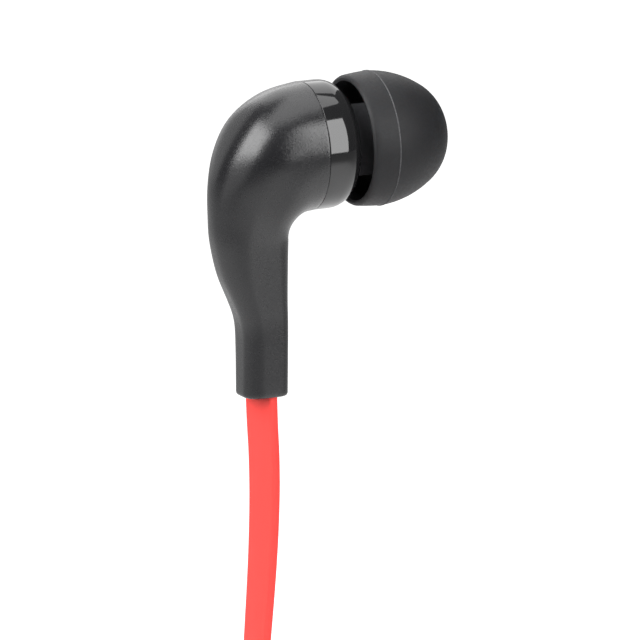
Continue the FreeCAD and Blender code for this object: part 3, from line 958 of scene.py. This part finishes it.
def stem_twist(height):
    """Turn of the left cord, greatest where it leaves the stem and gone before the hank."""
    full = bpy.context.scene.earphone_sizes.cord_twist
    share = min(1.0, max(0.0, (height + TWIST_GONE) / (TWIST_GONE - STEM_END)))
    return full * share * share * (3 - 2 * share)


# Splitter, tie and plug


# Rounds of the splitter: its corners, its outer rim and the edges that meet at its seam
SPLITTER_CORNER = 1.6
SPLITTER_RIM = 1.1
SPLITTER_SEAM = 0.10


def splitter_half(name, outward):
    """One glued half of the splitter's shell: rounded outside, with a fine seam where the halves meet."""
    low, high = (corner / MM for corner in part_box(name))
    mesh = bmesh.new()
    bmesh.ops.create_cube(mesh, size=1.0)
    bmesh.ops.scale(mesh, vec=high - low, verts=mesh.verts)
    bmesh.ops.translate(mesh, vec=(low + high) / 2, verts=mesh.verts)
    seam_x = low.x if outward > 0 else high.x
    sides = [edge for edge in mesh.edges if abs(edge.verts[0].co.x - edge.verts[1].co.x) > 1e-4]
    bevel(mesh, sides, SPLITTER_CORNER, 6)
    face = high.x if outward > 0 else low.x
    rim = [edge for edge in mesh.edges if all(abs(vert.co.x - face) < 1e-4 for vert in edge.verts)]
    bevel(mesh, rim, SPLITTER_RIM, 5)
    seam = [edge for edge in mesh.edges if all(abs(vert.co.x - seam_x) < 1e-4 for vert in edge.verts)]
    bevel(mesh, seam, SPLITTER_SEAM, 2)
    return dress(to_object(mesh, name + "_shell"), "soft_touch", BODY, name)


def bevel(mesh, edges, width, segments):
    """Round a set of edges."""
    bmesh.ops.bevel(
        mesh,
        geom=edges,
        offset=width,
        segments=segments,
        affect="EDGES",
        profile=0.5,
        material=-1,
        clamp_overlap=True,
    )


def rubber_tie():
    """Moulded rubber strap round the hank's waist, crowned outside and rounded at its edges."""
    low, high = (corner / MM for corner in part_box("tie"))
    centre = (low + high) / 2
    half = (high - low) / 2
    wall, crown, edge = 1.0, 0.25, 0.30
    rings = []
    for step in range(-4, 5):
        share = step / 4
        rings.append((crown * (1 - share**2) - crown, share * (half.z - edge)))
    rings += [(-crown - edge * 0.3, half.z - edge * 0.3), (-crown - edge, half.z), (-wall + edge, half.z)]
    rings += [(-wall, half.z - edge), (-wall, -half.z + edge), (-wall + edge, -half.z)]
    rings += [(-crown - edge, -half.z), (-crown - edge * 0.3, -half.z + edge * 0.3)]
    along_x, along_y = Vector((1, 0, 0)), Vector((0, 1, 0))
    loops = []
    for offset, height in rings:
        place = centre + Vector((0, 0, height))
        corners = [max(0.45, 1.5 + offset)] * 2
        loops.append(rounded_ring(place, along_x, along_y, half.x + offset, half.y + offset, corners, 6))
    tie = to_object(loft(bmesh.new(), loops, closed=True), "rubber_tie")
    return dress(tie, "tie_rubber", BODY, "tie")


# Length of the plug's relief and grip, radius of its grip and of its pin
RELIEF = 10.0
GRIP = 17.0
GRIP_RADIUS = 3.6
PIN = 1.75


def plug_piece(name, slot, corners, *nodes):
    """Piece of the plug, turned about the plug's own axis from its cord end down."""
    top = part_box("plug_relief")[1].z / MM
    place = Matrix.Translation((middle("plug_relief").x, 0, top)) @ Matrix.Rotation(math.pi / 2, 4, "Y")
    return dress(turned(name, rounded(corners, 5), place, steps=72), slot, BODY, *nodes)


def strain_relief():
    """Ribbed sleeve that lets the cord bend where it enters the plug."""
    ribs, wide, collar = 7, 0.85, 0.6
    valley, crest, taper = 1.62, 2.10, 0.08
    pitch = (RELIEF - collar) / ribs
    corners = [(0, 0), (0, 1.9, 0.25)]
    for rib in range(ribs):
        start, end = collar + rib * pitch, collar + rib * pitch + wide
        corners += [(start, valley + taper * start, 0.12), (start, crest + taper * start, 0.15)]
        corners += [(end, crest + taper * end, 0.15), (end, valley + taper * end, 0.12)]
    corners += [(RELIEF, 2.45), (RELIEF, 0)]
    return plug_piece("ribbed_relief", "soft_touch", corners, "plug_relief")


def plug_grip():
    """Barrel that the fingers hold, with two shallow grooves near its pin end."""
    start, face, shoulder, bottom = RELIEF, RELIEF + GRIP, 2.90, GRIP_RADIUS - 0.28
    corners = [(start, 0), (start, shoulder, 0.10), (start + 1.4, GRIP_RADIUS, 1.2)]
    for groove in (face - 4.6, face - 3.4):
        corners += [(groove, GRIP_RADIUS, 0.10), (groove + 0.15, bottom, 0.08)]
        corners += [(groove + 0.45, bottom, 0.08), (groove + 0.60, GRIP_RADIUS, 0.10)]
    corners += [(face - 1.1, GRIP_RADIUS, 0.8), (face, shoulder, 0.15), (face, 0)]
    return plug_piece("finger_grip", "soft_touch", corners, "plug_grip")


def plug_contacts():
    """Sleeve, ring and tip contacts with the insulators between them."""
    face, flange = RELIEF + GRIP, 2.30
    sleeve, ring, gap = 7.4, 2.3, 0.7
    corners = [(face, 0), (face, flange, 0.12), (face + 0.6, flange, 0.12), (face + 0.6, PIN, 0.10)]
    corners += [(face + sleeve, PIN, 0.05), (face + sleeve, 0)]
    plug_piece("sleeve_contact", "contact", corners, "plug_sleeve")
    at = face + sleeve
    for name, slot, long, node in (
        ("rear_collar", "insulator", gap, "plug_rear_insulator"),
        ("ring_contact", "contact", ring, "plug_ring"),
        ("front_collar", "insulator", gap, "plug_front_insulator"),
    ):
        inset = 0.04 if slot == "insulator" else 0.0
        corners = [(at, 0), (at, PIN - inset, 0.04), (at + long, PIN - inset, 0.04), (at + long, 0)]
        plug_piece(name, slot, corners, node)
        at += long
    end = at + 2.9
    corners = [(at, 0), (at, PIN, 0.06), (at + 0.50, 1.22, 0.35), (at + 1.25, PIN, 0.40)]
    corners += [(end - 0.25, 0.60, 0.35), (end, 0)]
    plug_piece("tip_contact", "contact", corners, "plug_tip")


# Operators


class EARPHONES_OT_rear_boots(bpy.types.Operator):
    """Model both rear boots"""

    bl_idname = "earphones.rear_boots"
    bl_label = "Rear boots"

    def execute(self, context):
        for side in SIDES:
            rear_boot(side)
        return {"FINISHED"}


class EARPHONES_OT_front_housings(bpy.types.Operator):
    """Turn both front housings and cut their nozzle screens"""

    bl_idname = "earphones.front_housings"
    bl_label = "Front housings"

    def execute(self, context):
        for side in SIDES:
            front_housing(side)
            nozzle_screen(side)
        return {"FINISHED"}


class EARPHONES_OT_ear_tips(bpy.types.Operator):
    """Turn both silicone ear tips"""

    bl_idname = "earphones.ear_tips"
    bl_label = "Ear tips"

    def execute(self, context):
        for side in SIDES:
            ear_tip(side)
        return {"FINISHED"}


class EARPHONES_OT_splitter(bpy.types.Operator):
    """Make the two glued halves of the splitter"""

    bl_idname = "earphones.splitter"
    bl_label = "Splitter"

    def execute(self, context):
        splitter_half("splitter_front", 1)
        splitter_half("splitter_back", -1)
        return {"FINISHED"}


class EARPHONES_OT_plug(bpy.types.Operator):
    """Turn the plug's relief, grip and contacts"""

    bl_idname = "earphones.plug"
    bl_label = "Plug"

    def execute(self, context):
        strain_relief()
        plug_grip()
        plug_contacts()
        return {"FINISHED"}


class EARPHONES_OT_tie(bpy.types.Operator):
    """Mould the tie round the hank"""

    bl_idname = "earphones.tie"
    bl_label = "Tie"

    def execute(self, context):
        rubber_tie()
        return {"FINISHED"}


class EARPHONES_OT_cords(bpy.types.Operator):
    """Lay the three flat cords along their routes"""

    bl_idname = "earphones.cords"
    bl_label = "Cords"

    def execute(self, context):
        ways = {"left_branch": left_way(), "right_branch": right_way(), "trunk": trunk_way()}
        for name, points in ways.items():
            twist = stem_twist if name == "left_branch" else None
            cord, line = flat_cord(name + "_flat", points, twist)
            dress(cord, "cord_red", BODY, name + "_cord", name + "_hank")
        return {"FINISHED"}


# CAD nodes inside each housing, by finish
INNER = {
    "foam": ("damping_foam",),
    "film": ("surround", "dome"),
    "copper": ("voice_coil",),
    "soft_iron": ("top_plate", "yoke"),
    "magnet": ("magnet",),
    "inner_plastic": ("driver_frame", "cable_anchor"),
    "circuit_board": ("terminal_board",),
    "wire_enamel": ("lead_wires",),
}


class EARPHONES_OT_inner_parts(bpy.types.Operator):
    """Finish the driver and the other pieces inside the housings"""

    bl_idname = "earphones.inner_parts"
    bl_label = "Inner parts"

    def execute(self, context):
        names = {}
        for slot, nodes in INNER.items():
            names[slot] = [side + "_" + node for side in SIDES for node in nodes]
        names["crimp"] = ["splitter_crimp"]
        for slot, nodes in names.items():
            for name in nodes:
                item = frame["nodes"][name]
                item.data.materials.clear()
                item.data.materials.append(finish_of(slot))
        return {"FINISHED"}


class EARPHONES_OT_stage(bpy.types.Operator):
    """Set the floor, the lamps and the camera"""

    bl_idname = "earphones.stage"
    bl_label = "Stage"

    def execute(self, context):
        floor()
        world()
        lamps()
        camera()
        context.scene.view_settings.view_transform = "Standard"
        return {"FINISHED"}


# Width of the film frame, in millimetres
FRAME_WIDTH = 36.0


def direction(azimuth, elevation):
    """Way out from the middle at an azimuth and an elevation, of length 1."""
    level = math.cos(elevation)
    return Vector((math.sin(azimuth) * level, -math.cos(azimuth) * level, math.sin(elevation)))


def camera():
    """Camera at the photograph's viewing angle."""
    view = bpy.context.scene.earphone_view
    back = direction(view.azimuth, view.elevation)
    right = Vector((math.cos(view.azimuth), math.sin(view.azimuth), 0))
    up = back.cross(right)
    lens = bpy.data.cameras.new("camera")
    lens.sensor_width = FRAME_WIDTH
    lens.lens = lens.sensor_width * view.distance / view.width
    lens.clip_start = 0.01
    item = bpy.data.objects.new("camera", lens)
    turn = Matrix((right, up, back)).transposed().to_4x4()
    place = right * view.right + up * view.up + back * view.distance
    item.matrix_world = Matrix.Translation(place) @ turn
    bpy.context.scene.collection.objects.link(item)
    bpy.context.scene.camera = item


def glow_strength(tree, shown, mirrored):
    """Strength of a glow: one value straight from the camera or through glass, another in reflections."""
    rays = add_node(tree, "ShaderNodeLightPath")
    straight = {0: rays.outputs["Is Camera Ray"], 1: rays.outputs["Is Transmission Ray"]}
    seen = add_node(tree, "ShaderNodeMath", links=straight, operation="MAXIMUM")
    direct = add_node(tree, "ShaderNodeMath", links={0: seen.outputs[0], 1: shown}, operation="MULTIPLY")
    glossy = {0: rays.outputs["Is Glossy Ray"], 1: mirrored}
    share = add_node(tree, "ShaderNodeMath", links=glossy, operation="MULTIPLY")
    both = {0: direct.outputs[0], 1: share.outputs[0]}
    return add_node(tree, "ShaderNodeMath", links=both, operation="MAXIMUM").outputs[0]


def white_paint():
    """Matt white floor paint: lit by the lamps, with a glow that grows away from the shadow.

    In reflections the glow is stronger at the right close by, and at the back far off.
    """
    material, tree, output = new_material("white_floor_paint")
    place = add_node(tree, "ShaderNodeTexCoord")
    away = add_node(tree, "ShaderNodeVectorMath", links={0: place.outputs["Object"]}, operation="LENGTH")
    parts = add_node(tree, "ShaderNodeSeparateXYZ", links={"Vector": place.outputs["Object"]})
    shown = add_node(
        tree,
        "ShaderNodeMapRange",
        {"From Min": 0.30, "From Max": 0.75, "To Min": 0.35, "To Max": 1.0},
        {"Value": away.outputs["Value"]},
    )
    near = add_node(
        tree,
        "ShaderNodeMapRange",
        {"From Min": -0.05, "From Max": 0.14, "To Min": 0.13, "To Max": 0.70},
        {"Value": parts.outputs["X"]},
    )
    far = add_node(
        tree,
        "ShaderNodeMapRange",
        {"From Min": -0.40, "From Max": 0.30, "To Min": 0.18, "To Max": 0.38},
        {"Value": parts.outputs["Y"]},
    )
    mirrored = add_node(
        tree,
        "ShaderNodeMapRange",
        {"From Min": 0.35, "From Max": 0.80},
        {
            "Value": away.outputs["Value"],
            "To Min": near.outputs["Result"],
            "To Max": far.outputs["Result"],
        },
    )
    strength = glow_strength(tree, shown.outputs["Result"], mirrored.outputs["Result"])
    light = add_node(tree, "ShaderNodeEmission", links={"Strength": strength})
    paint = add_node(tree, "ShaderNodeBsdfDiffuse", {"Color": (0.6, 0.6, 0.6, 1)})
    both = add_node(tree, "ShaderNodeAddShader", links={0: paint.outputs[0], 1: light.outputs[0]})
    tree.links.new(both.outputs[0], output.inputs["Surface"])
    return material


# Half width of the floor, and how far it lies below the hanging set, in millimetres
FLOOR_HALF = 2500
FLOOR_DROP = 20


def floor():
    """Pale floor under the hanging set."""
    mesh = bmesh.new()
    bmesh.ops.create_grid(mesh, x_segments=8, y_segments=8, size=FLOOR_HALF)
    ground = CAD_BOX[0].z / MM - FLOOR_DROP
    item = to_object(mesh, "floor", Matrix.Translation((0, 0, ground)))
    item.data.materials.append(white_paint())


# Strength of the room's light, where 1 is white
ROOM = 0.10


def world():
    """White to the camera and behind the object, dim round the rest of the room."""
    scene = bpy.context.scene
    sky = bpy.data.worlds.new("studio")
    scene.world = sky
    sky.use_nodes = True
    tree = sky.node_tree
    tree.nodes.clear()
    way = add_node(tree, "ShaderNodeTexCoord")
    parts = add_node(tree, "ShaderNodeSeparateXYZ", links={"Vector": way.outputs["Generated"]})
    behind = add_node(
        tree,
        "ShaderNodeMapRange",
        {"From Min": 0.75, "From Max": 0.97},
        {"Value": parts.outputs["Y"]},
        interpolation_type="SMOOTHSTEP",
    )
    all_round = add_node(tree, "ShaderNodeValue")
    all_round.outputs[0].default_value = 1.0
    white = glow_strength(tree, all_round.outputs[0], behind.outputs["Result"])
    light = add_node(tree, "ShaderNodeMath", {1: ROOM}, {0: white}, operation="MAXIMUM")
    room = add_node(tree, "ShaderNodeBackground", {"Color": (1, 1, 1, 1)}, {"Strength": light.outputs[0]})
    add_node(tree, "ShaderNodeOutputWorld", links={"Surface": room.outputs[0]})


# Distance of every soft box from the origin, in millimetres
LAMP_AWAY = 600
# Soft boxes: azimuth and elevation in degrees, width and height in millimetres, strength, and
# forward lean in degrees
LAMPS = (
    ("left_box", -86, 37, 530, 500, 7.4, 0),
    ("left_card", -88, 1, 480, 270, 0.8, 0),
    ("right_strip", 21, 20, 330, 640, 5.8, 18),
    ("top_box", 130, 88, 420, 600, 2.3, 0),
    ("back_box", 161, 36, 530, 520, 1.8, 0),
)


def lamps():
    """Soft boxes round the object."""
    for name, azimuth, elevation, wide, high, strength, lean in LAMPS:
        lamp = bpy.data.lights.new(name, "AREA")
        lamp.shape = "RECTANGLE"
        lamp.size = wide * MM
        lamp.size_y = high * MM
        lamp.energy = strength * wide * high * MM * MM * math.pi
        item = bpy.data.objects.new(name, lamp)
        way = direction(math.radians(azimuth), math.radians(elevation))
        item.location = way * LAMP_AWAY * MM
        turn = way.to_track_quat("Z", "Y") @ Quaternion((1, 0, 0), math.radians(-lean))
        item.rotation_euler = turn.to_euler()
        item.visible_camera = False
        bpy.context.scene.collection.objects.link(item)


class EARPHONES_PT_panel(bpy.types.Panel):
    """Sizes, colours and steps of the earphones"""

    bl_idname = "EARPHONES_PT_panel"
    bl_label = "Earphones"
    bl_space_type = "VIEW_3D"
    bl_region_type = "UI"
    bl_category = "Earphones"

    def draw(self, context):
        for group_name in GROUPS:
            group = getattr(context.scene, group_name)
            column = self.layout.column()
            for name in group.__annotations__:
                column.prop(group, name)
        for step in STEPS:
            self.layout.operator(step.bl_idname)


STEPS = (
    EARPHONES_OT_rear_boots,
    EARPHONES_OT_front_housings,
    EARPHONES_OT_ear_tips,
    EARPHONES_OT_inner_parts,
    EARPHONES_OT_splitter,
    EARPHONES_OT_plug,
    EARPHONES_OT_tie,
    EARPHONES_OT_cords,
    EARPHONES_OT_stage,
)
GROUPS = {
    "earphone_sizes": EarphoneSizes,
    "earphone_colours": EarphoneColours,
    "earphone_view": EarphoneView,
}


def register():
    """Register the classes, and give each scene its groups of properties."""
    for kind in (*GROUPS.values(), *STEPS, EARPHONES_PT_panel):
        bpy.utils.register_class(kind)
    for name, kind in GROUPS.items():
        setattr(bpy.types.Scene, name, PointerProperty(type=kind))


def unregister():
    """Take the properties and the classes away again."""
    for name in GROUPS:
        delattr(bpy.types.Scene, name)
    for kind in (EARPHONES_PT_panel, *reversed(STEPS), *reversed(GROUPS.values())):
        bpy.utils.unregister_class(kind)


def main():
    """Make every piece in order."""
    register()
    for step in STEPS:
        family, name = step.bl_idname.split(".")
        getattr(getattr(bpy.ops, family), name)()


if __name__ == "__main__":
    main()
